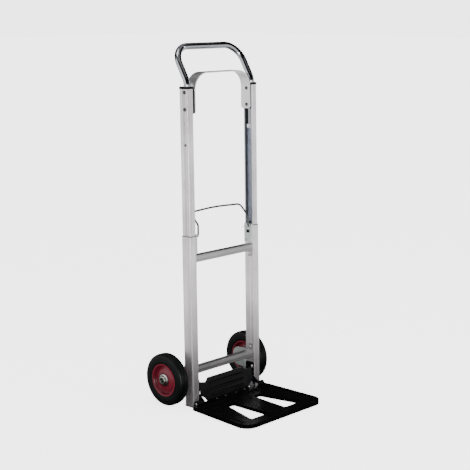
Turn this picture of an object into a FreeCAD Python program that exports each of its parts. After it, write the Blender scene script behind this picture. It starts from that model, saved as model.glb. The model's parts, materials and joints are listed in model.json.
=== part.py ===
import FreeCAD, Part
import math
import os
import re

import Sketcher

# Folding hand truck with a sliding upper frame.  Millimetres, +Z up.
# Origin on the floor at the middle of the footprint; the load side faces -Y, the user stands at +Y.
# Pieces on the posts are drawn upright, with Y = 0 at the posts' front faces, and then tipped back.

SIZES = {
    # lower frame
    "frame_width": 298, "post_room": 6, "post_depth": 36.4, "post_wall": 1.5, "post_corner": 2.5,
    "post_lean": 1.06, "post_foot": 5, "lower_post_top": 532.5, "collar_height": 2, "collar_lip": 0.4,
    # crossbars
    "bar_height": 22, "bar_depth": 20, "bar_wall": 1.6, "bar_corner": 2, "bar_inset": 0.5,
    "bar_tab": 20, "bar_tab_thick": 2, "upper_bar_drop": 79, "lower_bar_low": 107,
    # sliding upper frame
    "slide_gap": 0.3, "upper_wall": 1.4, "lip_width": 5, "slide_overlap": 120, "upper_post_length": 560,
    "flute_width": 9, "flute_depth": 0.6, "shoe_height": 30, "shoe_gap": 0.4,
    "cap_height": 7, "cap_overhang": 1.3, "cap_corner": 2,
    # handle and strap
    "tube_radius": 10, "tube_wall": 1.5, "tube_gap": 0.3, "tube_depth": 122, "tube_lean": 30,
    "tube_bend": 45, "grip_bend": 57, "handle_rise": 131.6, "stop_height": 11, "stop_hole": 2.6,
    "strap_thick": 3, "strap_inset": 5, "strap_margin": 0.6, "strap_rise": 47, "strap_drop": 72,
    "strap_bend": 52, "strap_corner": 7, "bolt_upper_drop": 10, "bolt_lower_drop": 60,
    "bolt_radius": 3, "bolt_head": 5.5, "web_hole_drop": 101, "web_hole": 2,
    "web_rivet_drop": 165, "web_rivet_head": 4.5, "web_rivet_shank": 2.5,
    # lock
    "lock_drop": 53, "lock_rise": 6, "lock_front": 1, "lock_depth": 6, "lock_wall": 1.5, "lock_corner": 2,
    "lock_rivet_shank": 2, "lock_rivet_head": 3.6, "lock_rivet_lower": 8, "lock_rivet_upper": 18,
    "pin_drop": 18, "pin_room": 10.4, "pin_radius": 3.5, "pin_square": 9, "pin_clearance": 0.3,
    "pin_cap": 3.5, "pin_tip_gap": 0.5, "running_gap": 0.05,
    "bail_wire": 3, "bail_inset": 8.6, "bail_setback": 6.7, "bail_kink_rise": 33,
    "bail_rise": 67, "bail_top_setback": 41, "bail_bow": 5, "bail_bend": 12, "bail_crown": 900,
    "spring_wire": 0.7, "spring_pitch": 1.25,
    # toe
    "toe_overhang": 25, "toe_flare": 12, "toe_reach": 250, "toe_rear": 2.5, "toe_thick": 12.8,
    "toe_skin": 4, "toe_rim": 4, "toe_front_corner": 38, "toe_rear_corner": 14,
    "toe_sink": 2.5, "toe_border": 10, "toe_seat": 0.6, "toe_front_rail": 41, "slot_rear": 68,
    "slot_inner_rear": 43, "slot_inner_front": 36.5, "slot_outer_rear": 76, "slot_outer_front": 112,
    "slot_rear_round": 10, "slot_front_round": 5,
    "hinge_reach": 11.5, "hinge_height": 16.5, "knuckle_radius": 9, "hinge_pin_radius": 4,
    "hinge_notch": 24, "side_gap": 0.5, "pin_head": 2, "pin_head_radius": 6,
    "hinge_plate_thick": 3, "hinge_plate_top": 87.5, "hinge_plate_step": 41, "hinge_plate_low": 27,
    "plate_bolt_head": 5, "plate_bolt_edge": 5.5, "plate_bolt_upper": 14, "plate_bolt_lower": 38.5,
    "foot_low": 1.2, "foot_plug": 20,
    "ear_gap": 4.5, "ear_width": 38, "flange_top": 80.5, "flange_tilt": 13, "flange_thick": 4,
    "ear_low": 33.5, "ear_foot": 21, "ear_high": 74.5, "ear_dip": 69, "ear_slant": 11.5,
    "rib_height": 6, "rib_depth": 3, "rib_pitch": 18, "rib_margin": 6,
    "flange_foot": 20, "flange_foot_thick": 3, "rivet_shank": 2.5, "rivet_head": 5, "rivet_height": 1.6,
    # wheels
    "tyre_radius": 81.5, "tyre_width": 35, "bead_radius": 46.5, "wheel_setback": 87, "wheel_gap": 10.5,
    "rim_steel": 1.8, "dish_radius": 39, "dish_level": 6.2, "dish_inner": 27, "hub_level": 13,
    "hub_radius": 16, "hub_flange": 19, "hub_flange_thick": 2, "hub_nose": 13, "hub_reach": 22.5,
    "hub_recess": 8.6, "hub_recess_depth": 7, "axle_radius": 6,
    "arm_thick": 4, "arm_gap": 2, "arm_end": 37, "arm_round": 26,
    "arm_hinge_gap": 11.6, "arm_knuckle": 7, "arm_pin_radius": 3, "pin_flange": 2.5,
    "wheel_bracket_thick": 3, "wheel_bracket_ear": 8, "wheel_bracket_gap": 1, "wheel_bracket_low": 43,
    "screw_radius": 2.5, "screw_head": 4.2, "screw_first": 12, "screw_second": 34,
}

# Sizes that follow from the ones above.
FOLLOWS = {
    "half_width": "frame_width / 2",
    "post_width": "(2 * tube_radius + post_room)",
    "inner_face": "(half_width - post_width)",
    "setback": "((toe_reach - wheel_setback - tyre_radius) / 2)",
    "upper_out": "(half_width - post_wall - slide_gap)",
    "upper_in": "(inner_face + post_wall + slide_gap)",
    "upper_front": "(post_wall + slide_gap)",
    "upper_back": "(post_depth - post_wall - slide_gap)",
    "web_face": "(upper_out - upper_wall)",
    "upper_bar_low": "(lower_post_top - upper_bar_drop)",
    "bar_back": "(bar_inset + bar_depth)",
    "upper_post_low": "(lower_post_top - slide_overlap)",
    "upper_post_top": "(upper_post_low + upper_post_length)",
    "handle_top": "(upper_post_top + handle_rise)",
    "tube_low": "(upper_post_top - tube_depth)",
    "tube_setback": "(upper_front + upper_wall + tube_gap + tube_radius)",
    "tube_x": "(web_face - tube_radius - running_gap)",
    "strap_half": "(inner_face - strap_inset)",
    "strap_width": "(post_depth + strap_margin)",
    "strap_top": "(upper_post_top + strap_rise)",
    "strap_low": "(upper_post_top - strap_drop)",
    "bolt_upper": "(upper_post_top - bolt_upper_drop)",
    "bolt_lower": "(upper_post_top - bolt_lower_drop)",
    "web_hole_height": "(upper_post_top - web_hole_drop)",
    "web_rivet_height": "(upper_post_top - web_rivet_drop)",
    "lock_low": "(lower_post_top - lock_drop)",
    "lock_high": "(lower_post_top + lock_rise)",
    "lock_back": "(post_depth - 2 * lock_front - lock_wall)",
    "lock_face": "(inner_face - lock_depth)",
    "lock_rivet_v": "(lock_back - 8)",
    "pin_height": "(lower_post_top - pin_drop)",
    "pin_setback": "(lock_rivet_v - pin_room)",
    "bail_half": "(lock_face - bail_inset)",
    "bail_height": "lower_post_top",
    "bail_kink": "(lower_post_top + bail_kink_rise)",
    "bail_top_height": "(lower_post_top + bail_rise)",
    "toe_half": "(half_width + toe_overhang)",
    "toe_rear_half": "(toe_half - toe_flare)",
    "toe_floor": "(toe_thick - toe_sink)",
    "toe_seat_top": "(toe_thick - toe_seat)",
    "slot_front": "(toe_reach - toe_front_rail)",
    "hinge_in": "(inner_face - hinge_plate_thick)",
    "hinge_v": "(-hinge_reach * cos(post_lean) - hinge_height * sin(post_lean))",
    "hinge_u": "(-hinge_reach * sin(post_lean) + hinge_height * cos(post_lean))",
    "knuckle_in": "(inner_face + side_gap)",
    "knuckle_out": "(half_width - side_gap)",
    "plate_bolt_back": "(post_depth / 2 - 4.2)",
    "ear_half": "(hinge_in - ear_gap)",
    "flange_half": "(ear_half - ear_width)",
    "flange_slope": "(flange_tilt / (flange_top - toe_thick))",
    "wheel_track": "(2 * (half_width + wheel_gap) + tyre_width)",
    "axle_height": "tyre_radius",
    "axle_v": "(wheel_setback * cos(post_lean) - axle_height * sin(post_lean))",
    "axle_u": "(wheel_setback * sin(post_lean) + axle_height * cos(post_lean))",
    "tyre_side": "(tyre_width / 2)",
    "hub_back": "(tyre_width / 2 + 0.5)",
    "plate_x": "(half_width + arm_gap)",
    "arm_offset": "(wheel_track / 2 - plate_x - arm_thick)",
    "arm_hinge_x": "(inner_face + arm_knuckle)",
    "arm_hinge_setback": "(post_depth + arm_hinge_gap)",
    "arm_low": "(wheel_bracket_low + wheel_bracket_ear + wheel_bracket_gap)",
    "arm_high": "(2 * axle_u - arm_low)",
}

doc = FreeCAD.newDocument("hand_truck")
sheet = doc.addObject("Spreadsheet::Sheet", "dims")
for row, (alias, size) in enumerate(SIZES.items(), 1):
    sheet.set("A%d" % row, alias)
    sheet.set("B%d" % row, str(size))
    sheet.setAlias("B%d" % row, alias)
doc.recompute()

FOLLOWS_WORD = re.compile(r"\b(%s)\b" % "|".join(FOLLOWS))
SIZE_WORD = re.compile(r"\b(%s)\b" % "|".join(SIZES))
X_AXIS = FreeCAD.Vector(1, 0, 0)


def formula(text):
    """An expression in plain size names, turned into one that reads the sheet."""
    text = str(text)
    while FOLLOWS_WORD.search(text):
        text = FOLLOWS_WORD.sub(lambda word: FOLLOWS[word.group(1)], text)
    return SIZE_WORD.sub(r"dims.\1", text)


def size_of(text):
    """The present value of such an expression."""
    found = sheet.evalExpression(formula(text))
    return float(getattr(found, "Value", found))


def plane(body, role):
    return next(part for part in body.Origin.OriginFeatures if part.Role == role)


def new_body(label):
    body = doc.addObject("PartDesign::Body", label)
    body.Label = label
    return body


def place(piece, x, y, z, axis=(1, 0, 0), angle=0):
    words = ("create(<<placement>>; create(<<vector>>; %s; %s; %s); "
             "create(<<rotation>>; create(<<vector>>; %d; %d; %d); %s))")
    piece.setExpression("Placement", formula(words % (x, y, z, *axis, angle)))


def on_posts(piece):
    """Tips a piece back with the posts."""
    place(piece, 0, "setback", 0, angle="-post_lean")


def on_floor(piece):
    place(piece, 0, "setback", 0)


def across(piece, x, v, u):
    """Turns a piece's own Z to +X, at depth v and height u along the leaning posts."""
    y = "(%s) * cos(post_lean) + (%s) * sin(post_lean) + setback" % (v, u)
    z = "(%s) * cos(post_lean) - (%s) * sin(post_lean)" % (u, v)
    place(piece, x, y, z, axis=(0, 1, 0), angle=90)


def outline(body, role, loops, lift=0):
    """A sketch of closed loops of corners, every corner tied to the sheet."""
    sketch = body.newObject("Sketcher::SketchObject", "outline")
    sketch.AttachmentSupport = [(plane(body, role), "")]
    sketch.MapMode = "FlatFace"
    sketch.setExpression("AttachmentOffset.Base.z", formula(lift))
    for corners in loops:
        first = sketch.GeometryCount
        count = len(corners)
        spots = [FreeCAD.Vector(size_of(h), size_of(v), 0) for h, v in corners]
        for i in range(count):
            sketch.addGeometry(Part.LineSegment(spots[i], spots[(i + 1) % count]), False)
        for i in range(count):
            sketch.addConstraint(
                Sketcher.Constraint("Coincident", first + i, 2, first + (i + 1) % count, 1))
        for i, (h, v) in enumerate(corners):
            for kind, text, value in (("DistanceX", h, spots[i].x), ("DistanceY", v, spots[i].y)):
                tie = sketch.addConstraint(Sketcher.Constraint(kind, -1, 1, first + i, 1, value))
                sketch.setExpression("Constraints[%d]" % tie, formula(text))
    return sketch


def box_corners(h_low, h_high, v_low, v_high):
    return [(h_low, v_low), (h_high, v_low), (h_high, v_high), (h_low, v_high)]


def disc(body, role, h, v, radius, lift=0):
    """A sketch of one circle."""
    sketch = body.newObject("Sketcher::SketchObject", "circle")
    sketch.AttachmentSupport = [(plane(body, role), "")]
    sketch.MapMode = "FlatFace"
    sketch.setExpression("AttachmentOffset.Base.z", formula(lift))
    centre = FreeCAD.Vector(size_of(h), size_of(v), 0)
    sketch.addGeometry(Part.Circle(centre, FreeCAD.Vector(0, 0, 1), size_of(radius)), False)
    ties = (("DistanceX", (-1, 1, 0, 3), h), ("DistanceY", (-1, 1, 0, 3), v), ("Radius", (0,), radius))
    for kind, where, text in ties:
        tie = sketch.addConstraint(Sketcher.Constraint(kind, *where, size_of(text)))
        sketch.setExpression("Constraints[%d]" % tie, formula(text))
    return sketch


def pad(body, sketch, length, reversed_way=False, midplane=False):
    feature = body.newObject("PartDesign::Pad", "pad")
    feature.Profile = sketch
    feature.setExpression("Length", formula(length))
    feature.Reversed = reversed_way
    feature.Midplane = midplane
    doc.recompute()
    return feature


def pocket(body, sketch, depth=None, reversed_way=False):
    """Cuts the sketch's shape, right through when no depth is given."""
    before = body.Tip.Shape.Volume
    feature = body.newObject("PartDesign::Pocket", "pocket")
    feature.Profile = sketch
    if depth is None:
        feature.Type = "ThroughAll"
        feature.Midplane = True
    else:
        feature.setExpression("Length", formula(depth))
        feature.Reversed = reversed_way
    doc.recompute()
    if feature.Shape.Volume >= before - 1e-3:
        raise RuntimeError("a pocket in %s cut nothing" % body.Label)
    return feature


def round_edges(body, radius, wanted):
    """Fillets the edges of the body so far that wanted(middle, direction, length) picks."""
    doc.recompute()
    base = body.Tip
    names = []
    for number, edge in enumerate(base.Shape.Edges, 1):
        if edge.Curve.TypeId != "Part::GeomLine":
            continue
        ends = [vertex.Point for vertex in edge.Vertexes]
        along = (ends[1] - ends[0]).normalize()
        if wanted((ends[0] + ends[1]) / 2, along, edge.Length):
            names.append("Edge%d" % number)
    if not names:
        raise RuntimeError("no edge to round on %s" % body.Label)
    feature = body.newObject("PartDesign::Fillet", "round")
    feature.Base = (base, names)
    feature.setExpression("Radius", formula(radius))
    doc.recompute()
    return feature


def upright(middle, along, length):
    return abs(along.z) > 0.99


def block(label, x, y, z, placed=on_posts):
    """A rectangular block between (low, high) pairs."""
    body = new_body(label)
    corners = [(x[0], y[0]), (x[1], y[0]), (x[1], y[1]), (x[0], y[1])]
    pad(body, outline(body, "XY_Plane", [corners], lift=z[0]), "(%s) - (%s)" % (z[1], z[0]))
    placed(body)
    return body


def turned(label, profile):
    """A turned piece: corners as (radius, height) about its own Z."""
    body = new_body(label)
    sketch = outline(body, "XZ_Plane", [profile])
    feature = body.newObject("PartDesign::Revolution", "turn")
    feature.Profile = sketch
    feature.ReferenceAxis = (sketch, ["V_Axis"])
    feature.Angle = 360
    doc.recompute()
    return body


def drill(body, radius, h, v, role="YZ_Plane", lift=0, depth=None):
    """A round hole from lift onwards, or through everything when no depth is given."""
    return pocket(body, disc(body, role, h, v, radius, lift=lift), depth, reversed_way=True)


def mirrored(piece, label):
    other = doc.addObject("Part::Mirroring", label)
    other.Label = label
    other.Source = piece
    other.Normal = X_AXIS
    other.Base = (0, 0, 0)
    return other


def group(label, pieces):
    both = doc.addObject("Part::Compound", label)
    both.Label = label
    both.Links = pieces
    return both


def both_sides(label, pieces):
    """The pieces and their mirror images as one node."""
    others = [mirrored(piece, "%s_opposite_%d" % (label, i)) for i, piece in enumerate(pieces)]
    return group(label, list(pieces) + others)


def bend_path(points, radii):
    """Straight runs joined by tangent arcs; radii are those at the inner points."""
    edges = []
    start = points[0]
    for i, radius in enumerate(radii, 1):
        corner = points[i]
        back = (points[i - 1] - corner).normalize()
        ahead = (points[i + 1] - corner).normalize()
        half = back.getAngle(ahead) / 2
        reach = radius / math.tan(half)
        into, out = corner + back * reach, corner + ahead * reach
        bisector = (back + ahead).normalize()
        middle = corner + bisector * (radius / math.sin(half) - radius)
        if (into - start).Length > 1e-6:
            edges.append(Part.LineSegment(start, into).toShape())
        edges.append(Part.Arc(into, middle, out).toShape())
        start = out
    edges.append(Part.LineSegment(start, points[-1]).toShape())
    return Part.Wire(edges)


def swept(path, radius):
    """A round bar along a path."""
    start = path.Edges[0]
    section = Part.Wire(Part.Circle(start.valueAt(start.FirstParameter),
                                    start.tangentAt(start.FirstParameter), radius).toShape())
    return path.makePipeShell([section], True, True)


def shaped(label, shape, placed=on_posts):
    """A piece whose shape is worked out here from the sheet."""
    piece = doc.addObject("Part::Feature", label)
    piece.Label = label
    piece.Shape = shape
    placed(piece)
    return piece


nodes = []


def keep(*pieces):
    nodes.extend(pieces)


def keep_pair(piece):
    """Names the piece for the right side and adds its mirror image for the left."""
    label = piece.Label
    piece.Label = label + "_right"
    keep(piece, mirrored(piece, label + "_left"))


# ---------------------------------------------------------------- lower frame

def lower_post():
    post = new_body("lower_post")
    corners = box_corners("inner_face", "half_width", 0, "post_depth")
    pad(post, outline(post, "XY_Plane", [corners], lift="post_foot"), "lower_post_top - post_foot")
    round_edges(post, "post_corner", upright)
    hollow = box_corners("inner_face + post_wall", "half_width - post_wall",
                         "post_wall", "post_depth - post_wall")
    pocket(post, outline(post, "XY_Plane", [hollow]))
    inner_wall = dict(lift="inner_face - 1", depth="post_wall + 2")
    drill(post, "pin_radius + pin_clearance", "pin_setback", "pin_height", **inner_wall)
    for radius, v, u in FASTENINGS:
        drill(post, radius, v, u, **inner_wall)
    for height in WHEEL_BRACKET_BOLTS:
        drill(post, "screw_radius", "arm_hinge_x + 10", height, role="XZ_Plane",
              lift="-post_depth - 1", depth="post_wall + 2")
    on_posts(post)
    return post


BAR_BOLT_V = "bar_depth * 0.7"
UPPER_TAB = "(upper_bar_low - bar_tab)"
LOWER_TAB = "(lower_bar_low + bar_height - 1)"
LOCK_RIVETS = ("lock_low + lock_rivet_lower", "lock_high - lock_rivet_upper")
PLATE_BOLTS = (("post_wall + plate_bolt_edge", "hinge_plate_top - plate_bolt_upper"),
               ("plate_bolt_back", "hinge_plate_top - plate_bolt_lower"))
FASTENINGS = [("bolt_radius", BAR_BOLT_V, tab + " + bar_tab / 2") for tab in (UPPER_TAB, LOWER_TAB)]
FASTENINGS += [("lock_rivet_shank", "lock_rivet_v", height) for height in LOCK_RIVETS]
FASTENINGS += [("bolt_radius", v, height) for v, height in PLATE_BOLTS]
WHEEL_BRACKET_BOLTS = ("arm_low + screw_first", "arm_low + screw_second")


def build_crossbar(label, low, tab_low):
    bar = new_body(label)
    front = box_corners("bar_inset", "bar_back", low, low + " + bar_height")
    pad(bar, outline(bar, "YZ_Plane", [front]), "2 * inner_face", midplane=True)
    round_edges(bar, "bar_corner", lambda middle, along, length: abs(along.x) > 0.99)
    inside = box_corners("bar_inset + bar_wall", "bar_back - bar_wall", low + " + bar_wall",
                         low + " + bar_height - bar_wall")
    pocket(bar, outline(bar, "YZ_Plane", [inside]))
    tab = box_corners("bar_inset + 2.5", "bar_back", tab_low, tab_low + " + bar_tab + 1")
    for face in ("inner_face", "-inner_face + bar_tab_thick"):
        pad(bar, outline(bar, "YZ_Plane", [tab], lift=face), "bar_tab_thick", reversed_way=True)
    drill(bar, "bolt_radius", BAR_BOLT_V, tab_low + " + bar_tab / 2")
    on_posts(bar)
    return bar


def side_rivet(label, x_face, x_end, v, u, head, shank, tail):
    """A fastener through the post's inner wall, its head towards the truck's middle."""
    grip = "(%s) - (%s)" % (x_end, x_face)
    piece = turned(label, [(0, -1.8), ("%s * 0.6" % head, -1.6), (head, -0.6), (head, 0), (shank, 0),
                           (shank, grip), (tail, grip), (tail, grip + " + 1"), (0, grip + " + 1")])
    across(piece, x_face, v, u)
    return piece


def collar():
    ring = new_body("post_collar")
    outside = box_corners("inner_face + running_gap", "half_width + collar_lip",
                          "-collar_lip", "post_depth + collar_lip")
    inside = box_corners("upper_in - slide_gap", "upper_out + slide_gap",
                         "upper_front - slide_gap", "upper_back + slide_gap")
    pad(ring, outline(ring, "XY_Plane", [outside, inside], lift="lower_post_top"), "collar_height")
    on_posts(ring)
    return ring


def lock_bracket():
    bracket = new_body("lock_bracket")
    plan = box_corners("lock_face", "inner_face", "lock_front", "lock_back")
    pad(bracket, outline(bracket, "XY_Plane", [plan], lift="lock_low"), "lock_high - lock_low")
    round_edges(bracket, "lock_corner", lambda middle, along, length:
                abs(along.z) > 0.99 and middle.x < size_of("lock_face + 1"))
    inside = box_corners("lock_face + lock_wall", "inner_face + 1",
                         "lock_front + lock_wall", "lock_back - lock_wall")
    pocket(bracket, outline(bracket, "XY_Plane", [inside]))
    drill(bracket, "pin_radius + pin_clearance", "pin_setback", "pin_height")
    drill(bracket, "bail_wire + running_gap", "bail_setback", "bail_height")
    for height in LOCK_RIVETS:
        drill(bracket, "lock_rivet_shank", "lock_rivet_v", height)
    on_posts(bracket)
    return bracket


def hinge_plate():
    """A flat plate on the post's inner face, its nose reaching forward to the toe plate's hinge pin."""
    plate = new_body("toe_hinge_plate")
    nose = "-hinge_reach - knuckle_radius"
    side = [("post_depth - 1.4", "hinge_plate_top"), ("lock_front", "hinge_plate_top"),
            ("lock_front", "hinge_plate_step"), (nose, "hinge_height + 7"), (nose, "hinge_height - 8"),
            (-3, "hinge_height - 8"), (10, "hinge_plate_low"), ("post_depth - 1.4", "hinge_plate_low")]
    pad(plate, outline(plate, "YZ_Plane", [side], lift="hinge_in"), "hinge_plate_thick")
    round_edges(plate, 8, lambda middle, along, length:
                abs(along.x) > 0.99 and middle.z > size_of("hinge_plate_top") - 1)
    drill(plate, "hinge_pin_radius + running_gap", "hinge_v", "hinge_u")
    for v, height in PLATE_BOLTS:
        drill(plate, "bolt_radius", v, height)
    on_posts(plate)
    return plate


def foot_cap():
    """A low cap under the post's end, with a plug inside the tube."""
    foot = new_body("foot_cap")
    plan = box_corners("inner_face + running_gap", "half_width + collar_lip",
                       "-collar_lip", "post_depth + collar_lip")
    pad(foot, outline(foot, "XY_Plane", [plan], lift="foot_low"), "post_foot - foot_low")
    wall = "post_wall + running_gap"
    plug = box_corners("inner_face + " + wall, "half_width - (%s)" % wall, wall, "post_depth - (%s)" % wall)
    pad(foot, outline(foot, "XY_Plane", [plug], lift="post_foot"), "foot_plug")
    on_posts(foot)
    return foot


def wheel_bracket():
    bracket = new_body("wheel_bracket")
    low = "wheel_bracket_low"
    high = "arm_high + wheel_bracket_gap + wheel_bracket_ear"
    back = box_corners("inner_face + 1", "half_width - 1", low, high)
    pad(bracket, outline(bracket, "XZ_Plane", [back], lift="-post_depth"), "wheel_bracket_thick",
        reversed_way=True)
    for u in (low, "arm_high + wheel_bracket_gap"):
        ear = box_corners("arm_hinge_x - arm_knuckle", "arm_hinge_x + arm_knuckle",
                          "post_depth", "arm_hinge_setback")
        pad(bracket, outline(bracket, "XY_Plane", [ear], lift=u), "wheel_bracket_ear")
        pad(bracket, disc(bracket, "XY_Plane", "arm_hinge_x", "arm_hinge_setback", "arm_knuckle", lift=u),
            "wheel_bracket_ear")
    drill(bracket, "arm_pin_radius + running_gap", "arm_hinge_x", "arm_hinge_setback", role="XY_Plane")
    for u in WHEEL_BRACKET_BOLTS:
        drill(bracket, "screw_radius", "arm_hinge_x + 10", u, role="XZ_Plane")
    on_posts(bracket)
    return bracket


def wheel_hinge_pin():
    pin = new_body("wheel_hinge_pin")
    pad(pin, disc(pin, "XY_Plane", "arm_hinge_x", "arm_hinge_setback", "arm_pin_radius",
                  lift="wheel_bracket_low - 2"),
        "arm_high - arm_low + 2 * wheel_bracket_gap + 2 * wheel_bracket_ear + 2")
    pad(pin, disc(pin, "XY_Plane", "arm_hinge_x", "arm_hinge_setback", "arm_pin_radius + pin_flange",
                  lift="arm_high + wheel_bracket_gap + wheel_bracket_ear"), "pin_flange")
    on_posts(pin)
    return pin


def toe_hinge_pin():
    reach = "half_width - hinge_in"
    pin = turned("toe_hinge_pin", [(0, "-pin_head"), ("pin_head_radius", "-pin_head"), ("pin_head_radius", 0),
                                   ("hinge_pin_radius", 0), ("hinge_pin_radius", reach),
                                   ("hinge_pin_radius - 1", reach + " + 1"), (0, reach + " + 1")])
    across(pin, "hinge_in", "hinge_v", "hinge_u")
    return pin


def wheel_bracket_bolt(u):
    """A short screw through the bracket into the post's rear wall."""
    grip = "wheel_bracket_thick + post_wall"
    screw = turned("wheel_bracket_screw", [(0, -2), ("screw_head - 1.2", -1.8), ("screw_head", -0.8),
                                           ("screw_head", 0), ("screw_radius", 0), ("screw_radius", grip),
                                           (0, grip)])
    v = "post_depth + wheel_bracket_thick"
    y = "(%s) * cos(post_lean) + (%s) * sin(post_lean) + setback" % (v, u)
    z = "(%s) * cos(post_lean) - (%s) * sin(post_lean)" % (u, v)
    place(screw, "arm_hinge_x + 10", y, z, axis=(1, 0, 0), angle="90 - post_lean")
    return screw


def bail_spring():
    """Coils round the bail's pivot, with one straight tail to the rear."""
    wire, pitch = size_of("spring_wire"), size_of("spring_pitch")
    radius = size_of("bail_wire + running_gap") + 0.25 + wire
    centre_v, centre_u = size_of("bail_setback"), size_of("bail_height")
    x_first = size_of("lock_face") - wire - 0.2
    shape = None
    for turn in range(3):
        centre = FreeCAD.Vector(x_first - turn * pitch, centre_v, centre_u)
        coil = Part.makeTorus(radius, wire, centre, X_AXIS)
        shape = coil if shape is None else shape.fuse(coil)
    start = FreeCAD.Vector(x_first, centre_v, centre_u - radius)
    tail = Part.makeCylinder(wire, size_of("post_depth") + 3, start, FreeCAD.Vector(0, 1, -0.12))
    return shaped("bail_spring", shape.fuse(tail).removeSplitter())


keep_pair(lower_post())
keep(build_crossbar("upper_crossbar", "upper_bar_low", UPPER_TAB))
keep(build_crossbar("lower_crossbar", "lower_bar_low", LOWER_TAB))
keep_pair(collar())
keep_pair(lock_bracket())
keep_pair(hinge_plate())
keep_pair(foot_cap())
keep_pair(wheel_bracket())
keep(both_sides("wheel_hinge_pins", [wheel_hinge_pin()]))
keep(both_sides("wheel_bracket_screws", [wheel_bracket_bolt(u) for u in WHEEL_BRACKET_BOLTS]))
keep(both_sides("toe_hinge_pins", [toe_hinge_pin()]))
keep(both_sides("crossbar_bolts", [
    side_rivet("bar_bolt", "inner_face - bar_tab_thick", "inner_face + post_wall", BAR_BOLT_V,
               tab + " + bar_tab / 2", "bolt_radius + 1.5", "bolt_radius", "bolt_radius + 1.2")
    for tab in (UPPER_TAB, LOWER_TAB)]))
keep(both_sides("lock_bracket_rivets", [
    side_rivet("lock_rivet", "lock_face", "inner_face + post_wall", "lock_rivet_v", height,
               "lock_rivet_head", "lock_rivet_shank", "lock_rivet_shank + 1.4")
    for height in LOCK_RIVETS]))
keep(both_sides("hinge_plate_bolts", [
    side_rivet("plate_bolt", "hinge_in", "inner_face + post_wall", v, height,
               "plate_bolt_head", "bolt_radius", "bolt_radius + 1.2")
    for v, height in PLATE_BOLTS]))
keep_pair(bail_spring())


# ---------------------------------------------------------------- sliding upper frame

def upper_post():
    post = new_body("upper_post")
    lip = "upper_wall"
    corners = [
        ("upper_in", "upper_front"), ("upper_out", "upper_front"), ("upper_out", "upper_back"),
        ("upper_in", "upper_back"), ("upper_in", "upper_back - lip_width"),
        ("upper_in + " + lip, "upper_back - lip_width"), ("upper_in + " + lip, "upper_back - upper_wall"),
        ("web_face", "upper_back - upper_wall"), ("web_face", "upper_front + upper_wall"),
        ("upper_in + " + lip, "upper_front + upper_wall"), ("upper_in + " + lip, "upper_front + lip_width"),
        ("upper_in", "upper_front + lip_width")]
    pad(post, outline(post, "XY_Plane", [corners], lift="upper_post_low"), "upper_post_top - upper_post_low")
    outer = size_of("upper_out") - 0.1
    round_edges(post, "upper_wall", lambda middle, along, length:
                abs(along.z) > 0.99 and middle.x > outer)
    flute = box_corners("upper_out - flute_depth", "upper_out + 1", "post_depth / 2 - flute_width / 2",
                        "post_depth / 2 + flute_width / 2")
    pocket(post, outline(post, "XY_Plane", [flute]))
    for radius, v, u in (("bolt_radius + running_gap", "tube_setback", "bolt_upper"),
                         ("bolt_radius + running_gap", "tube_setback", "bolt_lower"),
                         ("web_hole", "tube_setback", "web_hole_height"),
                         ("web_rivet_shank", "tube_setback", "web_rivet_height")):
        drill(post, radius, v, u)
    drill(post, "pin_radius + 2 * pin_clearance", "pin_setback", "pin_height")
    on_posts(post)
    return post


def post_cap():
    cap = new_body("post_cap")
    plan = box_corners("upper_in - cap_overhang", "upper_out + cap_overhang",
                       "upper_front - cap_overhang", "upper_back + cap_overhang")
    pad(cap, outline(cap, "XY_Plane", [plan], lift="upper_post_top"), "cap_height")
    round_edges(cap, "cap_corner", upright)
    drill(cap, "tube_radius + running_gap", "tube_x", "tube_setback", role="XY_Plane")
    on_posts(cap)
    return cap


def strap_spacer():
    spacer = block("strap_spacer", ("strap_half", "upper_in"), ("upper_front", "upper_back"),
                   ("strap_low - 1", "upper_post_top"))
    for u in ("bolt_upper", "bolt_lower"):
        drill(spacer, "bolt_radius + running_gap", "tube_setback", u)
    return spacer


def slide_shoe():
    return block("slide_shoe", ("upper_in + upper_wall + shoe_gap", "web_face"),
                 ("upper_front + upper_wall", "upper_back - upper_wall"),
                 ("upper_post_low", "upper_post_low + shoe_height"))


def tube_stop():
    stop = block("tube_stop", ("upper_in + upper_wall", "web_face"),
                 ("upper_front + upper_wall", "tube_setback + tube_radius"),
                 ("tube_low - stop_height", "tube_low"))
    drill(stop, "stop_hole", "tube_setback", "tube_low - stop_height / 2")
    return stop


def handle():
    """One bent tube: two upright legs, a lean to the rear and the grip."""
    x, v = size_of("tube_x"), size_of("tube_setback")
    low = size_of("tube_low")
    lean = math.radians(size_of("tube_lean"))
    bend_at = size_of("upper_post_top + cap_height + 1") + size_of("tube_bend") * math.tan(lean / 2)
    grip_u = size_of("handle_top - tube_radius")
    grip_v = v + (grip_u - bend_at) * math.tan(lean)
    side = [(x, v, low), (x, v, bend_at), (x, grip_v, grip_u)]
    spots = side + [(-a, b, c) for a, b, c in reversed(side)]
    path = bend_path([FreeCAD.Vector(*spot) for spot in spots],
                     [size_of("tube_bend"), size_of("grip_bend"), size_of("grip_bend"), size_of("tube_bend")])
    tube = swept(path, size_of("tube_radius")).cut(swept(path, size_of("tube_radius - tube_wall")))
    for u in ("bolt_upper", "bolt_lower"):
        bar = Part.makeCylinder(size_of("bolt_radius + running_gap"), 2 * x + 60,
                                FreeCAD.Vector(-x - 30, v, size_of(u)), X_AXIS)
        tube = tube.cut(bar)
    return shaped("handle", tube)


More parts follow.
